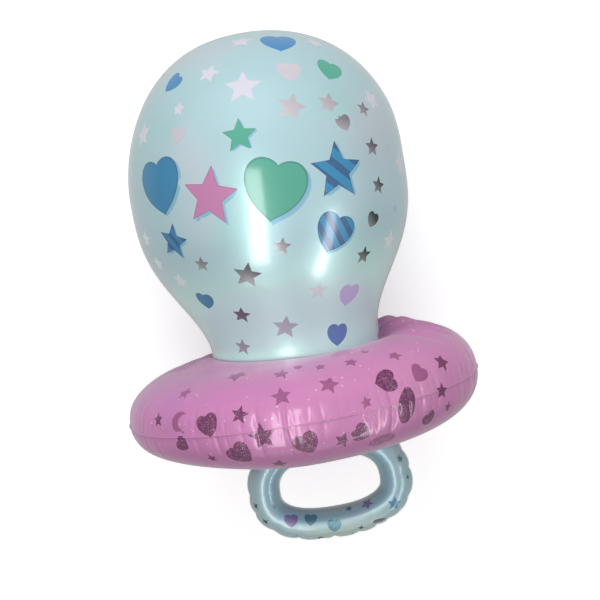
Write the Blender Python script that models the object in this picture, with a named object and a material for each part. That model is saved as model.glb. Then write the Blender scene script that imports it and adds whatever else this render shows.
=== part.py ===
"""A pacifier-shaped foil balloon, lying on its back.

Three sealed foil bodies share one axis: a bulb with a neck, a ring-shaped shield that the neck
sits in, and an oval handle ring under the shield. Each is modelled upright about its own Z axis,
and then all three are laid down together so that the shield's rim and the bulb's belly touch the
ground. Lengths are in metres and angles in degrees.
"""

import math

import bmesh
import bpy
import numpy as np

# Bulb: a full dome, a long taper and a short straight neck
BULB_RADIUS = 0.212
DOME_HEIGHT = 0.227
DOME_FULLNESS = 2.2
TAPER_LENGTH = 0.248
TAPER_SKEW = 1.39
NECK_RADIUS = 0.130
NECK_LENGTH = 0.0115
TAIL_DEPTH = 0.014

# Shield: two ring-shaped foil panels, welded at the rim and puckered there
RIM_RADIUS = 0.270
CREST_RADIUS = 0.169
SHIELD_HALF_HEIGHT = 0.0755
HOLE_RADIUS = 0.050
DISH_SLOPE = 36
SHIELD_FLANGE = 0.004
SHIELD_PUCKERS = 40
SHIELD_PUCKER_DEPTH = 0.005
SHIELD_PUCKER_SHARPNESS = 0.6
PUCKER_FADE = 1.5
PUCKER_SINK = 0.4
FLANGE_PUCKER_SHARE = 0.6

# Handle: a foil tube bent to an oval, welded along its outer and its inner side
HANDLE_HALF_WIDTH = 0.1045
HANDLE_UPPER_HEIGHT = 0.073
HANDLE_LOWER_HEIGHT = 0.0595
HANDLE_SQUARENESS = 2.4
HANDLE_SHIFT = 0.014
TUBE_RADIUS = 0.0223
HANDLE_FLANGE = 0.006
HANDLE_PUCKERS = 18
HANDLE_PUCKER_DEPTH = 0.003
HANDLE_PUCKER_SHARPNESS = 0.8

# Shared by all three
SEAM_THICKNESS = 0.0012
GAP = 0.0003

# Where the balloon rests, the foil gives way a little and its puckers are pressed smooth
FLAT_DEPTH = 0.003
PRESSED_ARC = 8
PRESSED_FADE_ARC = 16
STEEPEST_TILT = 60

# Fineness of the meshes
BULB_SIDES = 40
DOME_ROWS = 12
TAPER_ROWS = 10
SEAT_ROWS = 4
TAIL_ROWS = 5
PANEL_ROWS = 5
OUTERMOST_ROW_SLOPE = 78
FACES_PER_SHIELD_PUCKER = 3
FACES_PER_HANDLE_PUCKER = 4
TUBE_ROWS = 6
SHARP_EDGE = 60
MERGE_DISTANCE = 0.00001
CURVE_STEPS = 2001


def panel_spread(outside):
    """What the sine of the shield's slope is multiplied by to give radius^2 - crest^2.

    Outside the crest the slope reaches 90 degrees at the rim, and inside it the dish's own slope
    at the hole.
    """
    dish = (CREST_RADIUS**2 - HOLE_RADIUS**2) / math.sin(math.radians(DISH_SLOPE))
    return np.where(outside, RIM_RADIUS**2 - CREST_RADIUS**2, dish)


def shield_panel(slopes):
    """Radius and height of the upper panel of the shield where it slopes down by these angles.

    Foil that puckers freely carries no pull round the ring, so the sine of its slope follows the
    square of the radius. The height is the sum of the slope from the rim inwards, scaled to the
    shield's own half height at the crest.
    """
    fine = np.radians(np.linspace(90, -DISH_SLOPE, CURVE_STEPS))
    spread = panel_spread(fine > 0)
    radius = np.sqrt(CREST_RADIUS**2 + spread * np.sin(fine))
    rise = spread * np.sin(fine) / (2 * radius)
    steps = (rise[1:] + rise[:-1]) / 2 * -np.diff(fine)
    height = np.concatenate([[0], np.cumsum(steps)])
    height *= SHIELD_HALF_HEIGHT / height.max()
    wanted = -np.radians(slopes)
    return np.interp(wanted, -fine, radius), np.interp(wanted, -fine, height)


def panel_slope(radius):
    """The angle by which the upper panel slopes down at a radius, below zero inside the crest."""
    sine = (radius**2 - CREST_RADIUS**2) / panel_spread(radius > CREST_RADIUS)
    return math.degrees(math.asin(sine))


def seat_slopes():
    """The slopes of the rows where the bulb sits in the shield, from the neck to the hole."""
    return np.linspace(panel_slope(NECK_RADIUS), -DISH_SLOPE, SEAT_ROWS)


def bulb_profile():
    """Radius and height of the bulb's outline, from its top to its tail, above the shield's middle.

    The dome is a slightly squared ellipse and the taper half a cosine wave that starts slowly.
    Below the neck the outline follows the shield's upper panel, its hole and then a round tail.
    """
    seat_radius, seat_height = shield_panel(seat_slopes())
    neck_height = seat_height[0] + GAP + NECK_LENGTH
    widest_height = neck_height + TAPER_LENGTH
    turn = np.radians(np.linspace(0, 90, DOME_ROWS))
    dome_radius = BULB_RADIUS * np.sin(turn) ** (2 / DOME_FULLNESS)
    dome_height = widest_height + DOME_HEIGHT * np.cos(turn) ** (2 / DOME_FULLNESS)
    share = np.linspace(0, 1, TAPER_ROWS + 1)[1:]
    wave = (1 + np.cos(math.pi * share**TAPER_SKEW)) / 2
    taper_radius = NECK_RADIUS + (BULB_RADIUS - NECK_RADIUS) * wave
    taper_height = widest_height - TAPER_LENGTH * share
    seat_radius[-1] = HOLE_RADIUS - GAP
    tail_turn = np.radians(np.linspace(0, 90, TAIL_ROWS))
    tail_radius = (HOLE_RADIUS - GAP) * np.cos(tail_turn)
    tail_height = -seat_height[-1] - TAIL_DEPTH * np.sin(tail_turn)
    radius = np.concatenate([dome_radius, taper_radius, seat_radius, tail_radius])
    height = np.concatenate([dome_height, taper_height, seat_height + GAP, tail_height])
    radius[0] = radius[-1] = 0
    return radius, height


def shield_section():
    """Radius, height and pucker share of the shield's section, once round from the rim's flange."""
    seat = seat_slopes()
    outer = np.linspace(OUTERMOST_ROW_SLOPE, 0, PANEL_ROWS)
    slopes = np.concatenate([outer[outer > seat[0]], seat])
    radius, height = shield_panel(slopes)
    share = np.maximum(np.sin(np.radians(slopes)), 0) ** PUCKER_FADE
    thin = SEAM_THICKNESS / 2
    upper_radius = np.concatenate([[RIM_RADIUS + SHIELD_FLANGE, RIM_RADIUS], radius])
    upper_height = np.concatenate([[thin, thin], height])
    upper_share = np.concatenate([[FLANGE_PUCKER_SHARE, 1], share])
    return (
        np.concatenate([upper_radius, upper_radius[::-1]]),
        np.concatenate([upper_height, -upper_height[::-1]]),
        np.concatenate([upper_share, upper_share[::-1]]),
    )


def puckers(count, faces_each, sharpness):
    """How far each column is drawn in: 1 in the valley between two lobes, near 0 on a lobe."""
    phase = np.arange(count * faces_each) / faces_each
    return 1 - np.abs(np.sin(math.pi * phase)) ** sharpness


def shield_points():
    """The shield's surface as points[section, round], drawn in by its puckers near the rim."""
    radius, height, share = shield_section()
    around = SHIELD_PUCKERS * FACES_PER_SHIELD_PUCKER
    angle = np.arange(around) * 2 * math.pi / around
    # The shield rests on its rim at local +Y
    from_rest = np.abs(np.degrees(angle) - 90)
    pressed = np.clip((from_rest - PRESSED_ARC) / PRESSED_FADE_ARC, 0, 1)
    wave = puckers(SHIELD_PUCKERS, FACES_PER_SHIELD_PUCKER, SHIELD_PUCKER_SHARPNESS) * pressed
    drawn_in = share[:, None] * wave[None, :]
    reach = radius[:, None] - SHIELD_PUCKER_DEPTH * drawn_in
    sink = PUCKER_SINK * SHIELD_PUCKER_DEPTH / SHIELD_HALF_HEIGHT
    heights = height[:, None] * (1 - sink * drawn_in)
    return np.stack([reach * np.cos(angle), reach * np.sin(angle), heights], axis=-1)


def handle_path(count):
    """Evenly spaced points on the handle's middle line and their outward directions.

    The line is a squared oval whose upper half is taller than its lower half.
    """
    fine = np.linspace(0, 2 * math.pi, CURVE_STEPS)
    power = 2 / HANDLE_SQUARENESS
    across = HANDLE_HALF_WIDTH * np.sign(np.cos(fine)) * np.abs(np.cos(fine)) ** power
    height = np.where(np.sin(fine) > 0, HANDLE_UPPER_HEIGHT, HANDLE_LOWER_HEIGHT)
    up = height * np.sign(np.sin(fine)) * np.abs(np.sin(fine)) ** power
    length = np.concatenate([[0], np.cumsum(np.hypot(np.diff(across), np.diff(up)))])
    even = np.arange(count) / count * length[-1]
    across, up = np.interp(even, length, across), np.interp(even, length, up)
    ahead = np.stack([np.roll(across, -1) - np.roll(across, 1), np.roll(up, -1) - np.roll(up, 1)])
    ahead /= np.hypot(*ahead)
    return across, up, ahead[1], -ahead[0]


def handle_points():
    """The handle's surface as points[section, round], hung close under the shield and the tail."""
    count = HANDLE_PUCKERS * FACES_PER_HANDLE_PUCKER
    across, up, out_across, out_up = handle_path(count)
    wave = puckers(HANDLE_PUCKERS, FACES_PER_HANDLE_PUCKER, HANDLE_PUCKER_SHARPNESS)
    thin = SEAM_THICKNESS / 2
    root = math.asin(thin / TUBE_RADIUS)
    turn = np.linspace(root, math.pi - root, TUBE_ROWS)
    edge = TUBE_RADIUS + HANDLE_FLANGE
    out = np.concatenate([[edge], TUBE_RADIUS * np.cos(turn), [-edge]])
    front = np.concatenate([[thin], TUBE_RADIUS * np.sin(turn), [thin]])
    out = np.concatenate([out, out[::-1]])
    front = np.concatenate([front, -front[::-1]])
    # The puckers draw in the outer side of the tube and leave its inner side smooth
    share = np.clip(out / TUBE_RADIUS, 0, 1) ** 2
    reach = out[:, None] - HANDLE_PUCKER_DEPTH * share[:, None] * wave[None, :]
    x = HANDLE_SHIFT + across + reach * out_across
    y = np.repeat(front[:, None], count, axis=1)
    z = up + reach * out_up
    return np.stack([x, y, z + room_above(x, y, z)], axis=-1)


def room_above(x, y, z):
    """How far a shape may rise until it comes within the gap of the shield's underside or the tail."""
    tail_bottom = bulb_profile()[1][-1]
    radius, height = shield_panel(np.linspace(90, -DISH_SLOPE, CURVE_STEPS))
    ceiling = np.interp(np.hypot(x, y), radius[::-1], -height[::-1], left=tail_bottom, right=np.inf)
    return np.min(ceiling - z) - GAP


def loop_mesh(name, points):
    """A closed mesh of four-sided faces from points[section, round], joined up both ways."""
    rows, columns = points.shape[:2]
    index = np.arange(rows * columns).reshape(rows, columns)
    below, beside = np.roll(index, -1, axis=0), np.roll(index, -1, axis=1)
    opposite = np.roll(below, -1, axis=1)
    faces = np.stack([index, below, opposite, beside], axis=-1).reshape(-1, 4)
    mesh = bpy.data.meshes.new(name)
    mesh.from_pydata(points.reshape(-1, 3).tolist(), [], faces.tolist())
    mesh.shade_smooth()
    mesh.set_sharp_from_angle(angle=math.radians(SHARP_EDGE))
    return mesh


def resting_tilt():
    """The angle by which the axis slopes down to the bulb when shield and bulb both touch down."""
    rim = shield_panel(np.linspace(90, 0, CURVE_STEPS))
    bulb = bulb_profile()
    low, high = 0.0, STEEPEST_TILT
    while high - low > 1e-9:
        tilt = (low + high) / 2
        if reach_down(rim, tilt) > reach_down(bulb, tilt):
            low = tilt
        else:
            high = tilt
    return low


def reach_down(outline, tilt):
    """How far an outline reaches below the middle of the shield when the axis has this tilt."""
    radius, height = outline
    angle = math.radians(tilt)
    return float(np.max(radius * math.cos(angle) + height * math.sin(angle)))


def pearl_foil(name, colour, roughness):
    """Glossy pearl foil in one colour."""
    material = bpy.data.materials.new(name)
    material.use_nodes = True
    shader = material.node_tree.nodes["Principled BSDF"]
    shader.inputs["Base Color"].default_value = (*colour, 1)
    shader.inputs["Roughness"].default_value = roughness
    shader.inputs["Metallic"].default_value = 0.25
    return material


def place(name, mesh, material, parent):
    """A named object for one foil body, hung on the balloon's own frame."""
    body = bpy.data.objects.new(name, mesh)
    body.data.materials.append(material)
    body.parent = parent
    bpy.context.scene.collection.objects.link(body)
    return body


def teat_bulb(parent):
    """The bulb: its outline turned once round the axis."""
    radius, height = bulb_profile()
    outline = [(float(r), 0.0, float(z)) for r, z in zip(radius, height)]
    mesh = bpy.data.meshes.new("teat_bulb")
    mesh.from_pydata(outline, [(i, i + 1) for i in range(len(outline) - 1)], [])
    body = place("teat_bulb", mesh, pearl_foil("aqua_foil", (0.39, 0.61, 0.66), 0.2), parent)
    turn = body.modifiers.new("turn", "SCREW")
    turn.axis = "Z"
    turn.steps = turn.render_steps = BULB_SIDES
    turn.use_merge_vertices = True
    turn.merge_threshold = MERGE_DISTANCE
    turn.use_smooth_shade = True
    return body


def shield_ring(parent):
    """The shield: a puffed ring with its welded rim, puckered all round."""
    mesh = loop_mesh("shield_ring", shield_points())
    return place("shield_ring", mesh, pearl_foil("pink_foil", (0.55, 0.22, 0.45), 0.22), parent)


def handle_ring(parent):
    """The handle: a puffed oval tube with a flat welded edge outside and inside."""
    mesh = loop_mesh("handle_ring", handle_points())
    return place("handle_ring", mesh, pearl_foil("light_blue_foil", (0.40, 0.61, 0.66), 0.2), parent)


def ground_cutter():
    """A block under the ground, which presses a small flat spot into whatever reaches into it."""
    side = 4 * (RIM_RADIUS + TAPER_LENGTH + DOME_HEIGHT)
    mesh = bpy.data.meshes.new("ground_cutter")
    cube = bmesh.new()
    bmesh.ops.create_cube(cube, size=side)
    bmesh.ops.translate(cube, verts=cube.verts, vec=(0, 0, -side / 2))
    cube.to_mesh(mesh)
    cube.free()
    cutter = bpy.data.objects.new("ground_cutter", mesh)
    cutter.hide_render = True
    cutter.display_type = "WIRE"
    bpy.context.scene.collection.objects.link(cutter)
    return cutter


def lay_down(balloon):
    """Turns the balloon's frame onto its back and centres it, both touching places at the ground."""
    tilt = resting_tilt()
    angle = math.radians(tilt)
    radius, height = bulb_profile()
    handle = handle_points().reshape(-1, 3)
    far = np.max(radius * math.sin(angle) + height * math.cos(angle))
    near = np.min(handle[:, 2] * math.cos(angle) - handle[:, 1] * math.sin(angle))
    drop = reach_down((radius, height), tilt) - FLAT_DEPTH
    balloon.rotation_euler = (-math.radians(90 + tilt), 0, 0)
    balloon.location = (0, -(far + near) / 2, drop)


for old in list(bpy.data.objects):
    bpy.data.objects.remove(old)
frame = bpy.data.objects.new("balloon_frame", None)
bpy.context.scene.collection.objects.link(frame)
lay_down(frame)
ground = ground_cutter()
for touching in (teat_bulb(frame), shield_ring(frame)):
    flat = touching.modifiers.new("flat_spot", "BOOLEAN")
    flat.operation = "DIFFERENCE"
    flat.solver = "EXACT"
    flat.object = ground
handle_ring(frame)
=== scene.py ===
"""Dresses the lying pacifier balloon: three pearl foil skins with their prints, welds and puckers.

Everything is in metres, with +Z up, and only the prints' reaches are in millimetres. The balloon
lies on its back, so its printed front faces up.
"""

import math
from functools import partial

import bpy
import numpy as np
from mathutils import Matrix


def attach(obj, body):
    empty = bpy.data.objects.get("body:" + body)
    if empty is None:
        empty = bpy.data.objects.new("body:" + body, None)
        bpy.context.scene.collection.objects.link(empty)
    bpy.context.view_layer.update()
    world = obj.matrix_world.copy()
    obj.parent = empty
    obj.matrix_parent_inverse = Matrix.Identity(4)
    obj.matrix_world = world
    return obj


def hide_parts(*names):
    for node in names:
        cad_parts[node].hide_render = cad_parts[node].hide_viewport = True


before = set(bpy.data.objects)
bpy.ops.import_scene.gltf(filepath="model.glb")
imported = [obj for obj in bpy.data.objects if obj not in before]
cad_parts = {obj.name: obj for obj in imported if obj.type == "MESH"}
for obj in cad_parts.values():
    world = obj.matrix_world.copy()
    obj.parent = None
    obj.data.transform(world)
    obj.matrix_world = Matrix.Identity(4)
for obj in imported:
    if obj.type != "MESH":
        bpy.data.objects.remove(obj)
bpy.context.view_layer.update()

# The view
# The photograph looks down on the balloon from beyond its bulb, turned ten degrees off upright.
# Prints are placed by the pixel where the photograph shows them, so the view comes first.
PHOTO_SIDE = 600
SENSOR_WIDTH = 36.0
LENS = 90.12
CAMERA_PLACE = np.array([0.1116, 0.5813, 2.4843])
CAMERA_AIM = np.array([0.0179, -0.0159, 0.24])
CAMERA_ROLL = math.radians(-10.42)


def unit(vectors):
    """Vectors divided by their own length."""
    return vectors / np.maximum(np.linalg.norm(vectors, axis=-1, keepdims=True), 1e-12)


ahead = unit(CAMERA_AIM - CAMERA_PLACE)
level_right = unit(np.cross(ahead, (0.0, 1.0, 0.0)))
level_up = np.cross(level_right, ahead)
camera_right = level_right * math.cos(CAMERA_ROLL) + level_up * math.sin(CAMERA_ROLL)
camera_up = np.cross(camera_right, ahead)


def placed(name, data):
    """A new object in the scene that shows the given data."""
    thing = bpy.data.objects.new(name, data)
    bpy.context.scene.collection.objects.link(thing)
    return thing


def pose(*columns):
    """A matrix from the directions of an object's own axes and its place."""
    matrix = np.identity(4)
    matrix[:3] = np.stack(columns, axis=1)
    return Matrix(matrix.tolist())


camera = placed("camera", bpy.data.cameras.new("camera"))
camera.data.sensor_width = SENSOR_WIDTH
camera.data.lens = LENS
camera.matrix_world = pose(camera_right, camera_up, -ahead, CAMERA_PLACE)
bpy.context.scene.camera = camera


def seen_at(points):
    """Pixel across, pixel down and distance of points in the photograph.

    A pixel is the place across or up divided by the distance ahead, times the focal length.
    """
    away = points - CAMERA_PLACE
    distance = away @ ahead
    focal = LENS / SENSOR_WIDTH * PHOTO_SIDE
    across = PHOTO_SIDE / 2 + focal * (away @ camera_right) / distance
    down = PHOTO_SIDE / 2 - focal * (away @ camera_up) / distance
    return across, down, distance


# The shield
# A ring of two pearl pink foil panels with purple glitter prints, welded together round the rim.
# The weld can't stretch when the ring fills with air, so the foil gathers along it in puckers.
LYING_TILT = math.radians(9.344)
SHIELD_MIDDLE = (0.0, -0.15886, 0.26420)
RIM_RADIUS = 0.270
CREST_RADIUS = 0.169
SHIELD_HALF_HEIGHT = 0.0755
HOLE_RADIUS = 0.050
DISH_SLOPE = math.radians(36)
NECK_RADIUS = 0.130
GAP = 0.0003
SHIELD_COLUMNS = 1000
PANEL_ROWS, ROW_CROWDING = 46, 1.5
SHIELD_WELD, WELD_ROOT, WELD_TIP = 0.0015, 0.0004, 0.0002
WELD_THICKNESS = 0.0005
WELD_HOLD_REACH = 0.008
SHIELD_PUCKERS = 96
FOLD_ROUNDING = 0.15
FINER_SHARES = 1, 0.4, 0.7, 0.28, -1
FINER_SHIFTS = 0.031, 0.0002, 0, 0, 0
SEAM_VALLEY, SEAM_VALLEY_REACH = 0.0055, 0.030
REST_DEGREES, REST_FADE = 6, 16
DISH_RISE, DISH_TILT = 0.0025, 0.0085
DISH_EDGE, DISH_FADE, DISH_MIDDLE = 0.016, 0.045, 0.1
PLEATS, PLEAT_DEPTH = 11, 0.015
PLEAT_REACH, PLEAT_REACH_RIGHT, PLEAT_FADE = 0.050, 0.035, 0.065
BACK_SHOULDER, SHOULDER_RADIUS = 0.009, 0.205
CREST_FADE = 0.03
LEFT_UPPER_LOSS, LEFT_LOWER_LOSS = 0.06, 0.17
RIGHT_UPPER_GAIN, RIGHT_LOWER_LOSS = 0.06, 0.015
LEFT_REACH, RIGHT_REACH, REACH_FADE = 0.008, 0.003, 0.09
PAINTED_SHADE_START, PAINTED_SHADE_FADE = 0.35, 0.08
PRESS_SOFTNESS = 0.002
CURVE_STEPS = 2001

# Painted shade: the darkest pink here darkens the lower panel, where shade falls
PINK_FILM = {
    "tint": (197, 122, 175), "warm": (206, 136, 180), "cool": (189, 120, 177),
    "painted_shading": (188, 112, 165), "weld": (206, 152, 192),
}
PLUM = (104, 14, 82)
MAUVE = (150, 74, 126)
PLAIN, GLITTER, SHADOWED, STRIPED = 0.0, 1.0, 2.0, 3.0


def laid_down(x, y, z):
    """Points of the upright balloon, turned onto its back and moved to where it lies.

    Its axis leans down towards the bulb by the lying tilt, and its front at -Y comes to face up.
    """
    lean, rise = math.sin(LYING_TILT), math.cos(LYING_TILT)
    middle_x, middle_y, middle_z = SHIELD_MIDDLE
    x, y, z = np.broadcast_arrays(x, y, z)
    return np.stack([middle_x + x, middle_y - y * lean + z * rise, middle_z - y * rise - z * lean], -1)


def pressed(points):
    """Points with what reaches below the ground pressed softly flat onto it.

    The new height is half the sum of the height and the root of its square plus a small square.
    """
    flat = points.copy()
    flat[..., 2] = (points[..., 2] + np.sqrt(points[..., 2] ** 2 + PRESS_SOFTNESS**2)) / 2
    return flat


def evenly(count, radius, height, *others):
    """A curve read again at evenly spaced lengths, with its other values and the length itself."""
    length = np.concatenate([[0], np.cumsum(np.hypot(np.diff(radius), np.diff(height)))])
    places = np.linspace(0, length[-1], count)
    return [np.interp(places, length, values) for values in (radius, height, *others, length)]


def panel_curve(count):
    """Radius, height, slope and length of the shield's upper panel from its hole to its rim.

    Foil that gathers freely carries no pull round the ring, so the sine of its slope follows the
    square of the radius. The height is the sum of the slope from the rim inwards, scaled to the
    half height at the crest.
    """
    slope = np.linspace(-DISH_SLOPE, math.pi / 2, CURVE_STEPS)
    dish = (CREST_RADIUS**2 - HOLE_RADIUS**2) / math.sin(DISH_SLOPE)
    spread = np.where(slope > 0, RIM_RADIUS**2 - CREST_RADIUS**2, dish)
    radius = np.sqrt(CREST_RADIUS**2 + spread * np.sin(slope))
    fall = spread * np.sin(slope) / (2 * radius)
    steps = (fall[1:] + fall[:-1]) / 2 * np.diff(slope)
    height = np.concatenate([np.cumsum(steps[::-1])[::-1], [0]])
    height *= SHIELD_HALF_HEIGHT / height.max()
    return evenly(count, radius, height, slope)


def puckers(angle, from_weld, folds):
    """How far foil is drawn in by its folds, at every angle and distance from the weld.

    Each fold adds its depth * exp(-|angle to it| / its width) * exp(-(distance / its reach)^2), a
    little rounded at its line. It leans off square to the weld by a share of the distance.
    """
    drawn_in = np.zeros(np.broadcast_shapes(angle.shape, from_weld.shape))
    for middle, depth, width, reach, lean in folds:
        away = (angle - middle - lean * from_weld + math.pi) % (2 * math.pi) - math.pi
        fold = np.exp(-np.sqrt(away**2 + (FOLD_ROUNDING * width) ** 2) / width)
        drawn_in += depth * fold * np.exp(-((from_weld / reach) ** 2))
    return drawn_in


def strewn_folds(seed, count, jitter, depth, skew, width, reach, lean):
    """Uneven folds round a weld, as rows of angle, depth, width, reach and lean.

    Each value is drawn evenly from its range. A depth's share of its range is raised to the power
    of the skew, which makes most folds shallow.
    """
    rng = np.random.default_rng(seed)
    middles = (np.arange(count) + rng.uniform(-jitter, jitter, count)) / count * 2 * math.pi
    depths = depth[0] + (depth[1] - depth[0]) * rng.random(count) ** skew
    others = [rng.uniform(*ends, count) for ends in (width, reach, (-lean, lean))]
    return np.stack([middles, depths, *others], axis=1)


def smooth(share):
    """A share from 0 to 1, eased at both ends: 3 * share^2 - 2 * share^3."""
    share = np.clip(share, 0, 1)
    return share * share * (3 - 2 * share)


def dish_rise(angle, radius):
    """How far the dish stands above its even shape: up on the left, down on the right.

    The rise is a constant less a share of the angle's cosine, eased to nothing outside the crest
    and towards the middle.
    """
    around = DISH_RISE - DISH_TILT * np.cos(angle)
    return around * smooth((CREST_RADIUS + DISH_EDGE - radius) / DISH_FADE) * smooth(radius / DISH_MIDDLE)


def shield_surface():
    """The shield's skin as points[section, round], where on it the weld is, and its painted shade below.

    The section runs from the hole over the upper panel to the rim, round the weld's flat edge and
    back under the lower panel. Folds draw it in along its own normal.
    """
    curve = panel_curve(CURVE_STEPS)
    places = curve[3][-1] * (1 - (1 - np.linspace(0, 1, PANEL_ROWS)) ** ROW_CROWDING)
    radius, height, slope, length = (np.interp(places, curve[3], values) for values in curve)
    from_weld = length[-1] - length
    weld_out = np.array([WELD_ROOT, SHIELD_WELD, SHIELD_WELD + WELD_TIP])
    weld_up = np.array([1.0, 1.0, 0.0]) * WELD_THICKNESS / 2
    ones = np.ones(3)
    upper = np.stack([
        np.concatenate([radius, RIM_RADIUS + weld_out]),
        np.concatenate([height, weld_up]),
        np.concatenate([slope, ones * math.pi / 2]),
        np.concatenate([from_weld, 0 * ones]),
        np.concatenate([0 * radius, ones]),
    ])
    lower = upper[:, -2::-1] * np.array([[1], [-1], [1], [1], [1]])
    radius, height, slope, from_weld, weld = np.concatenate([upper, lower], axis=1)[:, :, None]
    side = np.where(np.arange(len(radius)) < upper.shape[1], 1.0, -1.0)[:, None]
    angle = np.arange(SHIELD_COLUMNS)[None, :] * 2 * math.pi / SHIELD_COLUMNS

    folds = strewn_folds(
        11, SHIELD_PUCKERS, jitter=0.45, depth=(0.0006, 0.0040), skew=1.8,
        width=(0.006, 0.018), reach=(0.018, 0.060), lean=0.6,
    )
    drawn_in = puckers(angle, from_weld, folds)
    drawn_in += puckers(angle, from_weld, folds * FINER_SHARES + FINER_SHIFTS)
    # The weld holds the foil straight, and lies in a shallow valley that is deepest in front
    drawn_in *= 0.3 + 0.7 * smooth(from_weld / WELD_HOLD_REACH)
    in_front = smooth((0.3 - np.sin(angle)) / 0.9)
    valley = np.exp(-((from_weld / SEAM_VALLEY_REACH) ** 2))
    drawn_in += SEAM_VALLEY * (0.2 + 0.8 * in_front) * valley
    # The foil is pressed smooth where the rim rests, at +Y
    drawn_in *= smooth((np.abs(np.degrees(angle) - 90) - REST_DEGREES) / REST_FADE)
    # Round the back of the neck the upper panel is pleated, furthest forward and out on the right.
    # The pleats stand at uneven angles, and fade towards the hole.
    left, right = smooth(-np.cos(angle)), smooth(np.cos(angle))
    pleats = np.abs(np.sin(PLEATS * angle + 1.5 * np.sin(3 * angle))) ** 0.8
    behind = smooth((np.sin(angle) + 0.20 + 0.45 * smooth(1.4 * np.cos(angle))) / 0.36) * (side > 0)
    inwards = smooth((CREST_RADIUS + PLEAT_REACH + PLEAT_REACH_RIGHT * right - radius) / PLEAT_FADE)
    inwards *= smooth((radius - HOLE_RADIUS) / 0.04)
    drawn_in += PLEAT_DEPTH * (1 - pleats) * behind * inwards

    # The left side is flatter and reaches further out. The right side is fuller above, and more so
    # inside the crest at the back.
    crested = smooth((radius - NECK_RADIUS) / CREST_FADE)
    upper_share = RIGHT_UPPER_GAIN * right * crested - LEFT_UPPER_LOSS * left * crested
    lower_share = -LEFT_LOWER_LOSS * left - RIGHT_LOWER_LOSS * right
    height = height * (1 + np.where(side > 0, upper_share, lower_share))
    shoulder = smooth((SHOULDER_RADIUS - radius) / CREST_FADE) * crested * right
    height = height + BACK_SHOULDER * shoulder * smooth(np.sin(angle) / 0.4) * (side > 0)
    reached = (LEFT_REACH * left + RIGHT_REACH * right) * np.exp(-((from_weld / REACH_FADE) ** 2))
    r = radius + reached - drawn_in * np.sin(slope)
    h = height - drawn_in * np.cos(slope) * side + dish_rise(angle, radius) * (side > 0)
    points = laid_down(r * np.cos(angle), r * np.sin(angle), h)
    # Painted shade: the lower panel's film is darkened, eased in from near the weld
    under = (side < 0) * smooth(PAINTED_SHADE_START + from_weld / PAINTED_SHADE_FADE) + 0 * angle
    return pressed(points), np.broadcast_to(weld, points.shape[:2]), under.reshape(-1)


def grid_faces(rows, columns, joined_rows):
    """Corners of four-sided faces on a grid whose columns close up, and whose rows may too."""
    index = np.arange(rows * columns).reshape(rows, columns)
    beside = np.roll(index, -1, axis=1)
    below, opposite = np.roll(index, -1, axis=0), np.roll(beside, -1, axis=0)
    faces = np.stack([index, below, opposite, beside], axis=-1)
    return (faces if joined_rows else faces[:-1]).reshape(-1, 4)


def facing(points, joined_rows):
    """Outward directions on a grid: the cross product of its two running differences."""
    if joined_rows:
        along = np.roll(points, -1, axis=0) - np.roll(points, 1, axis=0)
    else:
        along = np.gradient(points, axis=0)
    across = np.roll(points, -1, axis=1) - np.roll(points, 1, axis=1)
    return unit(np.cross(along, across))


def skin(name, points, joined_rows):
    """A smooth closed skin on a grid of points. Rows that don't join end in a point each."""
    rows, columns = points.shape[:2]
    faces = grid_faces(rows, columns, joined_rows).tolist()
    corners = points.reshape(-1, 3)
    if not joined_rows:
        ends = np.stack([points[0].mean(axis=0), points[-1].mean(axis=0)])
        corners = np.concatenate([corners, ends])
        first, last = rows * columns, rows * columns + 1
        ring = np.arange(columns)
        following = np.roll(ring, -1)
        inner = ring + (rows - 1) * columns
        faces += np.stack([ring, following, np.full(columns, first)], axis=1).tolist()
        faces += np.stack([np.roll(inner, -1), inner, np.full(columns, last)], axis=1).tolist()
    mesh = bpy.data.meshes.new(name)
    mesh.from_pydata(corners.tolist(), [], faces)
    mesh.shade_smooth()
    return placed(name, mesh)


STAR, HEART, SPARK, OVAL, CRESCENT = range(5)
PRINT_MARGIN, PRINT_MARGIN_SHARE = 0.007, 0.2
STAR_NOTCH = 0.46
NOTCH_X, NOTCH_Y = STAR_NOTCH * math.cos(math.pi / 5), STAR_NOTCH * math.sin(math.pi / 5)
HEART_SCALE, HEART_RISE = 1.25, 0.12
HEART_BEARINGS, HEART_STEPS = 241, 281
SPARK_FULLNESS = 1.08
OVAL_FLATNESS = 3.2
CRESCENT_SHIFT, CRESCENT_BITE = 0.55, 0.62
NEAR_PIXELS, PIXELS_PER_METRE = 4, 40
HIDDEN_TRIES, HIDDEN_TURN = 6000, 60
WRAPPED = -0.55
GRAINS_PER_METRE, SPARKLING_FROM, SPARKLE = 1100, 0.91, 0.38
DOTS_PER_METRE, DOT_SIZE, DOT_SPREAD = 105, 0.05, 0.13
OUTLINE_SCALE, SHADOW_SHIFT = 1.06, (-0.10, 0.08, 0.0)
STRIPES, STRIPE_SLANT, STRIPE_EDGE = 9.0, 0.8, 0.1
DEEP_BLUE = (0, 66, 118)
SHADOW_BLUE = (112, 172, 200)
OUTLINE_LIGHT, SPARKLE_LIGHT = (0.0, 0.03, 0.08), (0.80, 0.66, 0.80)
DOT_LIGHT, PAINTED_REFLECTION_LIGHT = (0.75, 0.70, 0.75), (0.9, 0.9, 0.9)


def paint(colour):
    """A colour as a screen shows it, 0 to 255, turned into the light that a shader works with."""
    screen = np.array(colour) / 255
    return np.where(screen < 0.04045, screen / 12.92, ((screen + 0.055) / 1.055) ** 2.4)


def print_at(points, normals, pixel):
    """The grid vertex that the photograph shows at a pixel: of those close to it, the nearest."""
    across, down, distance = seen_at(points)
    off = np.hypot(across - pixel[0], down - pixel[1])
    hidden = np.sum(normals * (CAMERA_PLACE - points), axis=-1) <= 0
    off = np.where(hidden, np.inf, off)
    nearest = distance[off < max(NEAR_PIXELS, off.min() + 1)].min()
    return np.argmin(off + PIXELS_PER_METRE * (distance - nearest))


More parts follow.
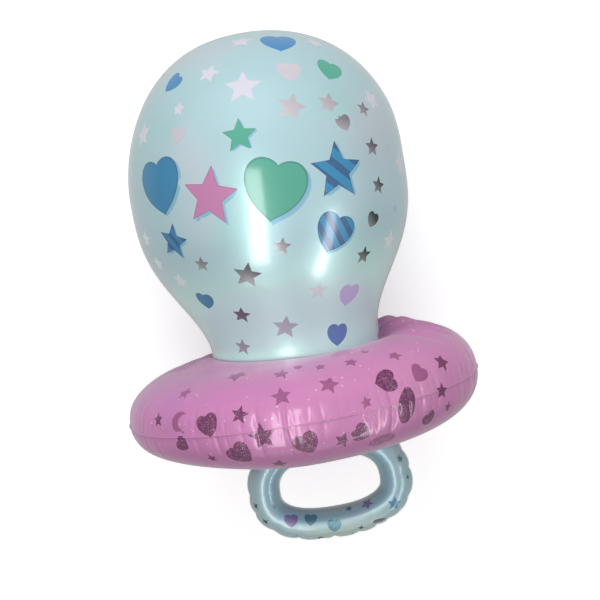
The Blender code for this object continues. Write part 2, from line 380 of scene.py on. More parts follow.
def print_edge(shape, bearing):
    """Distance from a print's middle to its edge, by the bearing from straight up, in its reach.

    A star's edge is one straight line in each tenth of a circle. A heart's is the last place out
    from the middle where (x^2 + y^2 - 1)^3 is still less than x^2 * y^3. An oval is an ellipse.
    """
    if shape == STAR:
        fold = np.abs((bearing + math.pi / 5) % (2 * math.pi / 5) - math.pi / 5)
        return NOTCH_Y / (NOTCH_Y * np.cos(fold) + (1 - NOTCH_X) * np.sin(fold))
    if shape == HEART:
        bearings = np.linspace(-math.pi, math.pi, HEART_BEARINGS)
        out = np.linspace(0, 1.4, HEART_STEPS)[:, None]
        x, y = HEART_SCALE * out * np.sin(bearings), HEART_SCALE * out * np.cos(bearings) + HEART_RISE
        inside = (x * x + y * y - 1) ** 3 < x * x * y**3
        return np.interp(bearing, bearings, np.max(out * inside, axis=0))
    if shape == OVAL:
        return 1 / np.sqrt(np.sin(bearing) ** 2 + OVAL_FLATNESS * np.cos(bearing) ** 2)
    return np.ones_like(bearing)


def scattered(points, normals, shown, turned, spacing, seed):
    """Vertices at least a spacing apart and away from those shown, on the side turned from view."""
    rng = np.random.default_rng(seed)
    away = np.sum(normals * unit(CAMERA_PLACE - points), axis=-1) < -turned
    kept = [points[i] for i in shown]
    chosen = []
    for vertex in rng.permutation(np.flatnonzero(away))[:HIDDEN_TRIES]:
        if min(np.linalg.norm(points[vertex] - np.array(kept), axis=1)) > spacing:
            kept.append(points[vertex])
            chosen.append(vertex)
    return chosen


def lay_prints(piece, points, joined_rows, prints, weld, hidden_prints, turned, spacing, seed):
    """Stores on the skin which print each vertex is in, and its place in that print.

    The place is the distance across and up from the print's middle, as the photograph is turned,
    in units of the print's own reach. A print is (shape, pixel, reach in millimetres, turn,
    colour), then its shine and style where they aren't plain. A vertex is in the print whose edge
    is nearest to it.
    """
    grid = points.shape[:2]
    flat, normals = points.reshape(-1, 3), facing(points, joined_rows).reshape(-1, 3)
    shown = [print_at(flat, normals, entry[1]) for entry in prints]
    hidden = scattered(flat, normals, shown, turned, spacing, seed)
    rng = np.random.default_rng(seed + 1)
    everything = [(vertex, *entry) for vertex, entry in zip(shown, prints)]
    for number, vertex in enumerate(hidden):
        shape, reach, *kind = hidden_prints[number % len(hidden_prints)]
        turn = rng.uniform(-HIDDEN_TURN, HIDDEN_TURN)
        everything.append((vertex, shape, None, reach, turn, *kind))

    count = len(flat)
    nearest, owner = np.full(count, np.inf), np.full(count, -1)
    place, ink, style_of = np.zeros((count, 3)), np.zeros((count, 4)), np.zeros(count)
    for number, (vertex, shape, _, reach, turn, *kind) in enumerate(everything):
        reach, angle, normal = reach / 1000, math.radians(turn), normals[vertex]
        up = unit(camera_up - normal * (camera_up @ normal))
        right = np.cross(up, normal)
        turned_up = up * math.cos(angle) - right * math.sin(angle)
        turned_right = right * math.cos(angle) + up * math.sin(angle)
        away = flat - flat[vertex]
        x, y = away @ turned_right, away @ turned_up
        stretch = np.linalg.norm(away, axis=1) / np.maximum(np.hypot(x, y), 1e-9) / reach
        x, y = x * stretch, y * stretch
        far = (np.hypot(x, y) - print_edge(shape, np.arctan2(x, y))) * reach
        limit = PRINT_MARGIN + PRINT_MARGIN_SHARE * reach
        mine = (far < np.minimum(nearest, limit)) & (normals @ normal > WRAPPED)
        nearest[mine], owner[mine] = far[mine], number
        place[mine] = np.stack([x, y, np.full(count, shape)], axis=1)[mine]
        ink[mine], style_of[mine] = print_ink(*kind)
    owner = owner.reshape(grid)
    alone = owner >= 0
    for axis, step in ((0, 1), (0, -1), (1, 1), (1, -1)):
        alone &= owner == np.roll(owner, step, axis=axis)
    store(piece, "print_place", place)
    store(piece, "print_ink", ink)
    store(piece, "print_style", style_of)
    store(piece, "print_here", alone.reshape(-1))
    store(piece, "weld", weld.reshape(-1))


def print_ink(colour, shine=0, style=PLAIN):
    """A print's light and silver shine as the shader reads them, and its style."""
    return (*paint(colour), shine), style


def store(piece, name, values):
    """Puts values on a skin's vertices as a named attribute, with zeros for its end points."""
    kinds = {1: ("FLOAT", "value"), 3: ("FLOAT_VECTOR", "vector"), 4: ("FLOAT_COLOR", "color")}
    kind, key = kinds[values[0].size]
    extra = len(piece.data.vertices) - len(values)
    padded = np.concatenate([values, np.zeros((extra, *values.shape[1:]))])
    attribute = piece.data.attributes.new(name, kind, "POINT")
    attribute.data.foreach_set(key, padded.astype(np.float32).ravel())


def new_group(name, inputs, outputs):
    """A shader node group with named sockets, and its input and output nodes."""
    group = bpy.data.node_groups.new(name, "ShaderNodeTree")
    for label, kind in inputs:
        group.interface.new_socket(label, in_out="INPUT", socket_type=f"NodeSocket{kind}")
    for label, kind in outputs:
        group.interface.new_socket(label, in_out="OUTPUT", socket_type=f"NodeSocket{kind}")
    return group, group.nodes.new("NodeGroupInput"), group.nodes.new("NodeGroupOutput")


def fill(tree, node, values):
    """Gives a node's inputs, by label or number, plain values, or links other sockets to them."""
    for label, value in values.items():
        if isinstance(value, bpy.types.NodeSocket):
            tree.links.new(value, node.inputs[label])
        else:
            node.inputs[label].default_value = value
    return node


def add(tree, kind, values, **settings):
    """Adds a shader node with its settings and its filled inputs."""
    node = tree.nodes.new(f"ShaderNode{kind}")
    for name, setting in settings.items():
        setattr(node, name, setting)
    return fill(tree, node, values)


def reckon(tree, operation, *values):
    """Adds one Math node and returns its result."""
    return add(tree, "Math", dict(enumerate(values)), operation=operation).outputs[0]


def blended(tree, share, first, second):
    """Adds a colour Mix node from the first colour to the second and returns its result."""
    node = add(tree, "Mix", {"Factor": share}, data_type="RGBA")
    ends = [number for number, socket in enumerate(node.inputs) if socket.type == "RGBA"]
    for end, value in zip(ends, (first, second)):
        fill(tree, node, {end: value if isinstance(value, bpy.types.NodeSocket) else (*value, 1.0)})
    return next(socket for socket in node.outputs if socket.type == "RGBA")


def read(tree, name):
    """Adds an Attribute node for a value stored on the skin."""
    return add(tree, "Attribute", {}, attribute_name=name).outputs


def make_print_shapes():
    """The node group that tells whether a place is inside a star, heart, spark, oval or crescent."""
    group, given, result = new_group("print_shapes", [("Place", "Vector")], [("Inside", "Float")])
    x, y, shape = add(group, "SeparateXYZ", {0: given.outputs["Place"]}).outputs
    step = partial(reckon, group)
    xx, yy = step("MULTIPLY", x, x), step("MULTIPLY", y, y)
    square = step("ADD", xx, yy)
    far = step("SQRT", square)
    # A five-pointed star: the turn folded to a tenth of a circle, and one straight edge there
    turn = step("PINGPONG", step("ARCTAN2", x, y), math.pi / 5)
    edge = step("MULTIPLY", step("COSINE", turn), NOTCH_Y)
    edge = step("ADD", edge, step("MULTIPLY", step("SINE", turn), 1 - NOTCH_X))
    star = step("LESS_THAN", step("MULTIPLY", far, edge), NOTCH_Y)
    # A heart: (x^2 + y^2 - 1)^3 < x^2 * y^3, made to fit its reach
    hx, hy = step("MULTIPLY", x, HEART_SCALE), step("MULTIPLY_ADD", y, HEART_SCALE, HEART_RISE)
    hxx, hyy = step("MULTIPLY", hx, hx), step("MULTIPLY", hy, hy)
    bulge = step("SUBTRACT", step("ADD", hxx, hyy), 1.0)
    cube = step("MULTIPLY", bulge, step("MULTIPLY", bulge, bulge))
    heart = step("LESS_THAN", cube, step("MULTIPLY", hxx, step("MULTIPLY", hyy, hy)))
    # A four-pointed spark: the roots of both sizes add up to about one at its edge
    roots = step("ADD", step("SQRT", step("ABSOLUTE", x)), step("SQRT", step("ABSOLUTE", y)))
    spark = step("LESS_THAN", roots, SPARK_FULLNESS)
    oval = step("LESS_THAN", step("MULTIPLY_ADD", yy, OVAL_FLATNESS, xx), 1.0)
    # A crescent: inside one circle and outside another beside it
    beside = step("ADD", x, -CRESCENT_SHIFT)
    bite = step("GREATER_THAN", step("MULTIPLY_ADD", beside, beside, yy), CRESCENT_BITE)
    crescent = step("MULTIPLY", step("LESS_THAN", square, 1.0), bite)
    total = 0.0
    for number, inside in enumerate((star, heart, spark, oval, crescent)):
        total = step("MULTIPLY_ADD", step("COMPARE", shape, float(number), 0.25), inside, total)
    fill(group, result, {"Inside": total})
    return group


print_shapes = make_print_shapes()


def make_printed_foil():
    """The node group that lays the stored prints over a film's colour.

    Large prints have a dark outline and a pale shadow beside them and may be striped. Glitter
    prints sparkle, and fine pale dots of glitter may be strewn over the film.
    """
    group, given, result = new_group(
        "printed_foil",
        [("Film", "Color"), ("Weld", "Color"), ("Dots", "Float")],
        [("Colour", "Color"), ("Inked", "Float"), ("Silver", "Float"), ("Sparkle", "Float")],
    )
    step = partial(reckon, group)
    place, ink = read(group, "print_place")["Vector"], read(group, "print_ink")
    style = read(group, "print_style")["Fac"]
    here = step("GREATER_THAN", read(group, "print_here")["Fac"], 0.999)

    def inside(scale=1.0, offset=(0, 0, 0)):
        terms = {0: place, 1: (scale, scale, 1.0), 2: offset}
        moved = add(group, "VectorMath", terms, operation="MULTIPLY_ADD").outputs[0]
        shapes = add(group, "Group", {"Place": moved}, node_tree=print_shapes)
        return step("MULTIPLY", shapes.outputs["Inside"], here)

    def cells(scale):
        voronoi = add(group, "TexVoronoi", {"Scale": scale, "Vector": where}).outputs
        return voronoi["Distance"], add(group, "SeparateColor", {0: voronoi["Color"]}).outputs[0]

    inked = inside()
    large = step("GREATER_THAN", style, 1.5)
    striped = step("GREATER_THAN", style, 2.5)
    glittered = step("COMPARE", style, GLITTER, 0.25)
    shadowed = step("MULTIPLY", inside(offset=SHADOW_SHIFT), large)
    outlined = step("MULTIPLY", step("SUBTRACT", inked, inside(OUTLINE_SCALE)), large)

    across, up, _ = add(group, "SeparateXYZ", {0: place}).outputs
    slanted = step("MULTIPLY_ADD", across, STRIPE_SLANT, up)
    wave = step("SINE", step("MULTIPLY", slanted, STRIPES))
    stripe = step("MULTIPLY", step("GREATER_THAN", wave, STRIPE_EDGE), striped)

    where = add(group, "TexCoord", {}).outputs["Object"]
    _, grain = cells(GRAINS_PER_METRE)
    bright = step("GREATER_THAN", grain, SPARKLING_FROM)
    sparkle = step("MULTIPLY", step("MULTIPLY", bright, glittered), step("MULTIPLY", inked, SPARKLE))
    far, chance = cells(DOTS_PER_METRE)
    dot_size = step("MULTIPLY_ADD", step("POWER", chance, 3.0), DOT_SPREAD, DOT_SIZE)
    dot = step("MULTIPLY", step("LESS_THAN", far, dot_size), given.outputs["Dots"])

    # Painted reflection: silver prints are painted lighter below and towards the left
    lit = step("MULTIPLY_ADD", up, -0.30, step("MULTIPLY_ADD", across, -0.15, 0.18))
    lit = step("MULTIPLY", step("MAXIMUM", lit, 0.0), ink["Alpha"])
    print_colour = blended(group, lit, ink["Color"], PAINTED_REFLECTION_LIGHT)
    print_colour = blended(group, step("MULTIPLY", stripe, 0.8), print_colour, paint(DEEP_BLUE))
    print_colour = blended(group, step("MULTIPLY", outlined, 0.35), print_colour, OUTLINE_LIGHT)
    print_colour = blended(group, sparkle, print_colour, SPARKLE_LIGHT)
    film = blended(group, read(group, "weld")["Fac"], given.outputs["Film"], given.outputs["Weld"])
    film = blended(group, step("MULTIPLY", dot, 0.6), film, DOT_LIGHT)
    film = blended(group, step("MULTIPLY", shadowed, 0.8), film, paint(SHADOW_BLUE))
    silver = step("MULTIPLY", inked, ink["Alpha"])
    fill(group, result, {
        "Colour": blended(group, inked, film, print_colour),
        "Inked": inked, "Silver": silver, "Sparkle": sparkle,
    })
    return group


printed_foil = make_printed_foil()


def make_pearl():
    """The node group for pearl film: soft clouds between three close tints, and a fine crinkle."""
    group, given, result = new_group(
        "pearl",
        [("Tint", "Color"), ("Warm", "Color"), ("Cool", "Color")],
        [("Film", "Color"), ("Crinkle", "Float")],
    )
    where = add(group, "TexCoord", {}).outputs["Object"]

    def clouds(scale, detail):
        noise = add(group, "TexNoise", {"Scale": scale, "Detail": detail, "Vector": where})
        return noise.outputs["Fac"]

    def eased(value, low, high):
        span = {"Value": value, "From Min": low, "From Max": high}
        return add(group, "MapRange", span, interpolation_type="SMOOTHSTEP").outputs["Result"]

    warm = eased(clouds(scale=5.0, detail=1.0), low=0.48, high=0.75)
    film = blended(group, warm, given.outputs["Tint"], given.outputs["Warm"])
    cool = eased(clouds(scale=7.5, detail=1.0), low=0.50, high=0.78)
    film = blended(group, cool, film, given.outputs["Cool"])
    fine, coarse = clouds(scale=70.0, detail=2.0), clouds(scale=18.0, detail=2.0)
    crinkle = reckon(group, "MULTIPLY_ADD", fine, 0.25, coarse)
    fill(group, result, {"Film": film, "Crinkle": crinkle})
    return group


pearl = make_pearl()


SILVER_ROUGHNESS = 0.24


def foil(name, tint, warm, cool, painted_shading, weld, shine, roughness, coat, coat_roughness, dots):
    """Glossy pearl foil: a metallic, soft-shining film under a clear sharp coat, with its prints.

    Where the skin stores painted shading, the film turns to its painted shading colour: painted shade
    under the shield and over the handle's inner side, and painted light at the neck.
    """
    material = bpy.data.materials.new(name)
    material.use_nodes = True
    tree = material.node_tree
    tint, warm, cool, weld = ((*paint(colour), 1.0) for colour in (tint, warm, cool, weld))
    film = add(tree, "Group", {"Tint": tint, "Warm": warm, "Cool": cool}, node_tree=pearl).outputs
    # Painted shade and painted light: the film turns darker or paler where the skin stores it
    film_with_painted_shading = blended(tree, read(tree, "painted_shading")["Fac"], film["Film"], paint(painted_shading))
    laid_over = {"Film": film_with_painted_shading, "Weld": weld, "Dots": dots}
    printed = add(tree, "Group", laid_over, node_tree=printed_foil).outputs
    unprinted = reckon(tree, "SUBTRACT", 1.0, printed["Inked"])
    metal = reckon(tree, "MULTIPLY_ADD", unprinted, shine, printed["Silver"])
    metal = reckon(tree, "MAXIMUM", metal, printed["Sparkle"])
    sharper = SILVER_ROUGHNESS - roughness
    dulled = reckon(tree, "MULTIPLY_ADD", printed["Silver"], sharper, roughness)
    crinkle = {"Height": film["Crinkle"], "Distance": 0.0012, "Strength": 0.22}
    fill(tree, tree.nodes["Principled BSDF"], {
        "Base Color": printed["Colour"], "Metallic": metal, "Roughness": dulled,
        "Coat Weight": coat, "Coat Roughness": coat_roughness, "Coat IOR": 1.65,
        "Sheen Weight": 0.5, "Sheen Roughness": 0.3,
        "Normal": add(tree, "Bump", crinkle).outputs["Normal"],
    })
    return material


SHIELD_PRINTS = [
    (STAR, (185, 392), 14, 8, MAUVE),
    (STAR, (282, 397), 16, 5, MAUVE),
    (STAR, (329, 384), 16, -8, MAUVE),
    (STAR, (366, 403), 10, 20, MAUVE),
    (STAR, (158, 421), 12, 10, PLUM, 0, GLITTER),
    (CRESCENT, (180, 422), 16, 0, MAUVE),
    (HEART, (208, 427), 19, 20, PLUM, 0, GLITTER),
    (HEART, (241, 455), 21, 42, PLUM, 0, GLITTER),
    (HEART, (307, 444), 20, 30, PLUM, 0, GLITTER),
    (HEART, (385, 382), 19, -70, PLUM, 0, GLITTER),
    (STAR, (240, 416), 14, -8, PLUM, 0, GLITTER),
    (STAR, (262, 436), 21, 12, PLUM, 0, GLITTER),
    (STAR, (442, 363), 16, -20, PLUM),
    (STAR, (212, 459), 9, 20, PLUM),
    (STAR, (279, 464), 14, 0, PLUM),
    (STAR, (442, 391), 13, 0, PLUM),
    (HEART, (183, 444), 13, 60, PLUM, 0, GLITTER),
    (STAR, (343, 440), 14, -10, PLUM, 0, GLITTER),
    (HEART, (362, 433), 16, 60, PLUM, 0, GLITTER),
    (OVAL, (382, 441), 21, 22, MAUVE, 0, GLITTER),
    (HEART, (420, 375), 16, -40, MAUVE),
    (OVAL, (407, 405), 26, 84, PLUM, 0, GLITTER),
    (HEART, (429, 419), 14, 40, PLUM, 0, GLITTER),
    (STAR, (448, 407), 10, 0, PLUM),
    (STAR, (236, 375), 21, 0, MAUVE),
    (STAR, (281, 374), 14, 12, MAUVE),
    (STAR, (298, 367), 10, 0, MAUVE),
    (STAR, (320, 367), 10, 20, MAUVE),
    (STAR, (351, 362), 12, 0, MAUVE),
    (STAR, (365, 351), 9, 0, MAUVE),
    (STAR, (394, 355), 13, -20, MAUVE),
]
SHIELD_HIDDEN_PRINTS = [
    (STAR, 16, PLUM, 0, GLITTER),
    (HEART, 17, PLUM, 0, GLITTER),
    (STAR, 10, MAUVE),
    (HEART, 12, MAUVE),
]

shield_points, shield_weld, shield_painted_shade = shield_surface()
shield_skin = skin("shield_skin", shield_points, True)
# Painted shade on the lower panel
store(shield_skin, "painted_shading", shield_painted_shade)
lay_prints(
    shield_skin, shield_points, True, SHIELD_PRINTS, shield_weld, SHIELD_HIDDEN_PRINTS,
    turned=0.4, spacing=0.050, seed=13,
)
shield_skin.data.materials.append(foil(
    "pink_foil", **PINK_FILM, shine=0.06, roughness=0.46, coat=0.42, coat_roughness=0.11, dots=1.0,
))
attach(shield_skin, "root")
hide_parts("shield_ring")


# The bulb
# One bag of pearl aqua foil, full and smooth, printed with hearts and stars in colours and silver.
# It narrows to a neck that sits in the shield's dish, and its round tail shows through the hole.
BULB_RADIUS = 0.212
DOME_HEIGHT = 0.227
DOME_FULLNESS = 2.2
TAPER_LENGTH = 0.248
TAPER_SKEW = 1.39
NECK_LENGTH = 0.0115
TAIL_DEPTH = 0.014
BULB_ROWS = 210
BULB_COLUMNS = 440
SEAM_NARROW, SEAM_WIDE = 0.0007, 0.0070
SEAM_TOP = 0.30
SEAM_ROOT, SEAM_PINCH = 0.002, 0.10
RIGHT_FULLNESS, RIGHT_FADE = 0.024, 0.10
LEFT_FLATNESS, LEFT_FADE = 0.028, 0.16
SHOULDER_WIDTH = 0.15
TOP_RISE = 0.004
FOOT_LIFT, FOOT_FADE = 0.0015, 0.04
NECK_LIGHT_BELOW, NECK_LIGHT_FADE = 0.26, 0.10

# Painted light: the palest aqua here lightens the neck
AQUA_FILM = {
    "tint": (170, 203, 210), "warm": (186, 200, 208), "cool": (160, 204, 202),
    "painted_shading": (202, 246, 236), "weld": (206, 222, 224),
}
BLUE = (0, 128, 176)
TEAL = (0, 118, 162)
ROSE = (186, 114, 162)
GREEN = (62, 160, 136)
LILAC = (190, 184, 222)
INDIGO = (84, 124, 182)
WHITE = (204, 202, 214)
# Painted light: a lighter white for stars where the bulb lies in shade
LIGHTENED_WHITE = (216, 226, 226)
PALE_PINK = (194, 188, 198)
# Painted shade: the silver ink is given in three greys, darker where it mirrors the dim surround
SILVER = (152, 146, 156)
HALF_SHADED_SILVER = (92, 90, 100)
SHADED_SILVER = (46, 58, 64)


def bulb_curve():
    """Radius and height of the bulb's outline from its top to its tail, evenly spaced.

    The dome is a slightly squared ellipse and the taper half a cosine wave that starts slowly.
    Below the neck the outline follows the shield's dish and hole, and ends in a round tail.
    """
    seat_radius, seat_height, _, _ = panel_curve(CURVE_STEPS)
    seat = seat_radius < NECK_RADIUS
    neck_height = np.interp(NECK_RADIUS, seat_radius, seat_height) + GAP + NECK_LENGTH
    widest = neck_height + TAPER_LENGTH
    turn = np.linspace(0, math.pi / 2, CURVE_STEPS)
    dome = np.sin(turn) ** (2 / DOME_FULLNESS), np.cos(turn) ** (2 / DOME_FULLNESS)
    share = np.linspace(0, 1, CURVE_STEPS)[1:]
    wave = (1 + np.cos(math.pi * share**TAPER_SKEW)) / 2
    tail = (HOLE_RADIUS - GAP) * np.cos(turn)
    tail_height = -seat_height[0] - TAIL_DEPTH * np.sin(turn)
    dish_radius = seat_radius[seat][::-1].copy()
    dish_radius[-1] = HOLE_RADIUS - GAP
    radius = np.concatenate([
        BULB_RADIUS * dome[0], NECK_RADIUS + (BULB_RADIUS - NECK_RADIUS) * wave, dish_radius, tail
    ])
    height = np.concatenate([
        widest + DOME_HEIGHT * dome[1], widest - TAPER_LENGTH * share,
        seat_height[seat][::-1] + GAP, tail_height,
    ])
    return evenly(BULB_ROWS + 2, radius, height)[:2]


def bulb_surface():
    """The bulb's skin as points[section, round], from beside its top to beside its tail."""
    radius, height = (values[1:-1, None] for values in bulb_curve())
    angle = np.arange(BULB_COLUMNS)[None, :] * 2 * math.pi / BULB_COLUMNS
    beside = (angle + math.pi) % (2 * math.pi) - math.pi
    narrowed = radius - seam_width(radius, height) * np.exp(-((beside / SEAM_PINCH) ** 2))
    near_foot = smooth(1 - (height - bulb_foot()) / FOOT_FADE)
    height = height + (dish_rise(angle, radius) - FOOT_LIFT) * near_foot
    across, height = fuller(narrowed * np.cos(angle), height)
    return pressed(laid_down(across, narrowed * np.sin(angle), height))


def fuller(across, height):
    """Places across and up on the bulb, with its right shoulder fuller, its left one flatter and
    its top higher, all eased in with the height above the widest level.
    """
    above = height - (bulb_foot() + GAP + NECK_LENGTH + TAPER_LENGTH)
    gain = RIGHT_FULLNESS * smooth(across / SHOULDER_WIDTH) * smooth(above / RIGHT_FADE)
    loss = LEFT_FLATNESS * smooth(-across / SHOULDER_WIDTH) * smooth(above / LEFT_FADE)
    return across * (1 + gain - loss), height + TOP_RISE * smooth(above / DOME_HEIGHT)


def seam_width(radius, height):
    """Width of the welded edge at the bulb's right side: narrow round the dome, wide at the neck."""
    above_neck = smooth((BULB_RADIUS - radius) / (BULB_RADIUS - NECK_RADIUS - 0.01))
    return SEAM_NARROW + (SEAM_WIDE - SEAM_NARROW) * above_neck * (height < SEAM_TOP)


def bulb_seam_surface():
    """The bulb's welded edge as points[along, round]: a thin band over the dome, foot to foot.

    Each section is a flat oblong that stands on the skin, in the plane between the two panels.
    """
    radius, height = bulb_curve()
    shown = (height > bulb_foot()) & (radius > SEAM_ROOT)
    radius, height = radius[shown], height[shown]
    right = np.stack([radius, height, seam_width(radius, height)])
    left = np.stack([-radius, height, 0 * radius + SEAM_NARROW])
    across, up, width = np.concatenate([left[:, ::-1], right], axis=1)
    across, up = fuller(across, up)
    run = unit(np.stack([np.gradient(across), np.gradient(up)], axis=-1))
    out_across, out_up = -run[:, 1], run[:, 0]
    inner = np.where(across > 0, -width - SEAM_ROOT, -SEAM_ROOT)
    outer = np.where(across > 0, WELD_ROOT, width)
    share = np.array([0, 1, 1, 1, 0, 0])
    reach = inner[:, None] * (1 - share) + outer[:, None] * share
    thick = np.array([1, 1, 0, -1, -1, 0]) * WELD_THICKNESS / 2
    x = across[:, None] + out_across[:, None] * reach
    z = up[:, None] + out_up[:, None] * reach
    return laid_down(x, np.broadcast_to(thick, x.shape), z)


def bulb_foot():
    """Height at which the neck stands in the shield's dish."""
    seat_radius, seat_height, _, _ = panel_curve(CURVE_STEPS)
    return np.interp(NECK_RADIUS, seat_radius, seat_height)


BULB_PRINTS = [
    (HEART, (160, 188), 46, 8, TEAL, 0, SHADOWED),
    (STAR, (173, 243), 28, -14, TEAL, 0, STRIPED),
    (STAR, (210, 196), 44, -6, ROSE, 0, SHADOWED),
    (STAR, (240, 136), 26, 6, GREEN, 0, SHADOWED),
    (HEART, (275, 190), 50, -8, GREEN, 0, SHADOWED),
    (STAR, (337, 171), 43, 6, BLUE, 0, STRIPED),
    (HEART, (334, 235), 33, -14, BLUE, 0, STRIPED),
    (HEART, (279, 43), 29, 0, (16, 122, 182)),
    (HEART, (172, 83), 19, -35, (16, 122, 176)),
    (STAR, (209, 74), 18, -8, WHITE),
    (STAR, (243, 86), 28, 4, WHITE),
    (STAR, (241, 42), 18, 10, WHITE),
    (STAR, (315, 43), 16, 10, WHITE),
    (STAR, (372, 100), 19, 20, WHITE),
    (STAR, (400, 163), 24, 10, WHITE),
    (STAR, (389, 241), 18, 4, LIGHTENED_WHITE),
    (STAR, (181, 282), 16, -18, LIGHTENED_WHITE),
    (STAR, (143, 135), 21, 12, WHITE),
    (STAR, (179, 110), 12, 0, WHITE),
    (STAR, (319, 290), 16, 5, LIGHTENED_WHITE),
    (STAR, (146, 239), 14, -10, LIGHTENED_WHITE),
    (STAR, (158, 264), 14, -10, LIGHTENED_WHITE),
    (HEART, (289, 71), 20, 4, PALE_PINK),
    (HEART, (177, 136), 15, 0, (184, 186, 194)),
    (HEART, (329, 70), 22, -24, GREEN),
    (STAR, (292, 107), 23, -14, (196, 188, 196), 0.6),
    (STAR, (329, 103), 19, -14, (184, 176, 184), 0.6),
    (STAR, (363, 110), 13, -14, SILVER, 1),
    (HEART, (344, 124), 14, 18, SILVER, 1),
    (STAR, (372, 147), 15, 0, HALF_SHADED_SILVER, 1),
    (STAR, (379, 186), 14, -6, SHADED_SILVER, 1),
    (STAR, (364, 256), 15, 6, SHADED_SILVER, 1),
    (STAR, (283, 246), 14, -4, SILVER, 1),
    (STAR, (202, 265), 13, -6, SILVER, 1),
    (STAR, (248, 275), 22, -10, HALF_SHADED_SILVER, 1),
    # Painted reflection: the silver stars on the neck are painted in dull greys, dark to light
    (STAR, (242, 315), 15, -10, (84, 90, 100), 0.2),
    (STAR, (286, 328), 20, -4, (168, 180, 186), 0.2),
    (STAR, (243, 347), 14, -10, (148, 156, 164), 0.2),
    (HEART, (373, 220), 13, -18, SHADED_SILVER, 1),
    (STAR, (395, 208), 9, 0, (150, 190, 210)),
    (HEART, (206, 301), 17, -12, TEAL),
    (HEART, (349, 295), 20, 2, LILAC),
    (HEART, (337, 334), 19, 2, INDIGO),
]
BULB_HIDDEN_PRINTS = [
    (STAR, 20, WHITE),
    (STAR, 15, SILVER, 1),
    (HEART, 17, BLUE),
    (STAR, 13, HALF_SHADED_SILVER, 1),
    (HEART, 16, LILAC),
    (STAR, 17, WHITE),
    (HEART, 18, GREEN),
    (STAR, 19, SILVER, 1),
    (HEART, 15, ROSE),
]

aqua_foil = foil(
    "aqua_foil", **AQUA_FILM, shine=0.22, roughness=0.36, coat=0.75, coat_roughness=0.13, dots=0.0,
)
bulb_points = bulb_surface()
bulb_skin = skin("bulb_skin", bulb_points, False)
# Painted light: the film is painted paler down the neck, where the shield shades it and mirrors into it
painted_neck_light = smooth((NECK_LIGHT_BELOW - bulb_curve()[1][1:-1]) / NECK_LIGHT_FADE)
store(bulb_skin, "painted_shading", np.repeat(painted_neck_light, BULB_COLUMNS))
unwelded = np.zeros(bulb_points.shape[:2])
lay_prints(
    bulb_skin, bulb_points, False, BULB_PRINTS, unwelded, BULB_HIDDEN_PRINTS,
    turned=0.12, spacing=0.062, seed=5,
)
bulb_skin.data.materials.append(aqua_foil)
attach(bulb_skin, "root")
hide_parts("teat_bulb")

bulb_seam_points = bulb_seam_surface()
bulb_seam = skin("bulb_seam", bulb_seam_points, False)
store(bulb_seam, "weld", np.ones(bulb_seam_points[..., 0].size))
bulb_seam.data.materials.append(aqua_foil)
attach(bulb_seam, "root")


# The handle
# A tube of light-blue pearl foil bent to an oval, welded along its outer and its inner side.
# It hangs under the tail in the shield's dish, a little to the right, gathered on its outer side.
HANDLE_HALF_WIDTH = 0.1045
HANDLE_UPPER_HEIGHT = 0.073
HANDLE_LOWER_HEIGHT = 0.0595
HANDLE_SQUARENESS = 2.4
HANDLE_SHIFT = 0.014
TUBE_RADIUS = 0.0223
HANDLE_WELD = 0.0034
HANDLE_RIPPLE = 0.0006
TAIL_CLEARANCE = 0.0005
WELD_TURN = 0.03
HANDLE_PUCKERS = 20
HANDLE_COLUMNS = 520
TUBE_ROWS = 26
INNER_SHADE = 0.75

# Painted shade: the deepest blue here darkens the tube's inner side
LIGHT_BLUE_FILM = {
    "tint": (160, 192, 198), "warm": (176, 198, 192), "cool": (138, 180, 194),
    "painted_shading": (128, 174, 190), "weld": (190, 212, 204),
}
DEEP_TEAL = (42, 88, 100)
PURPLE = (116, 102, 158)


def handle_line():
    """Evenly spaced points on the handle's middle line and their outward directions.

    The line is a squared oval whose upper half is taller than its lower half.
    """
    turn = np.linspace(0, 2 * math.pi, CURVE_STEPS)
    power = 2 / HANDLE_SQUARENESS
    across = HANDLE_HALF_WIDTH * np.sign(np.cos(turn)) * np.abs(np.cos(turn)) ** power
    tall = np.where(np.sin(turn) > 0, HANDLE_UPPER_HEIGHT, HANDLE_LOWER_HEIGHT)
    up = tall * np.sign(np.sin(turn)) * np.abs(np.sin(turn)) ** power
    across, up, _ = (values[:-1] for values in evenly(HANDLE_COLUMNS + 1, across, up))
    run = unit(np.stack([np.roll(across, -1) - np.roll(across, 1), np.roll(up, -1) - np.roll(up, 1)], -1))
    return across, up, run[:, 1], -run[:, 0]


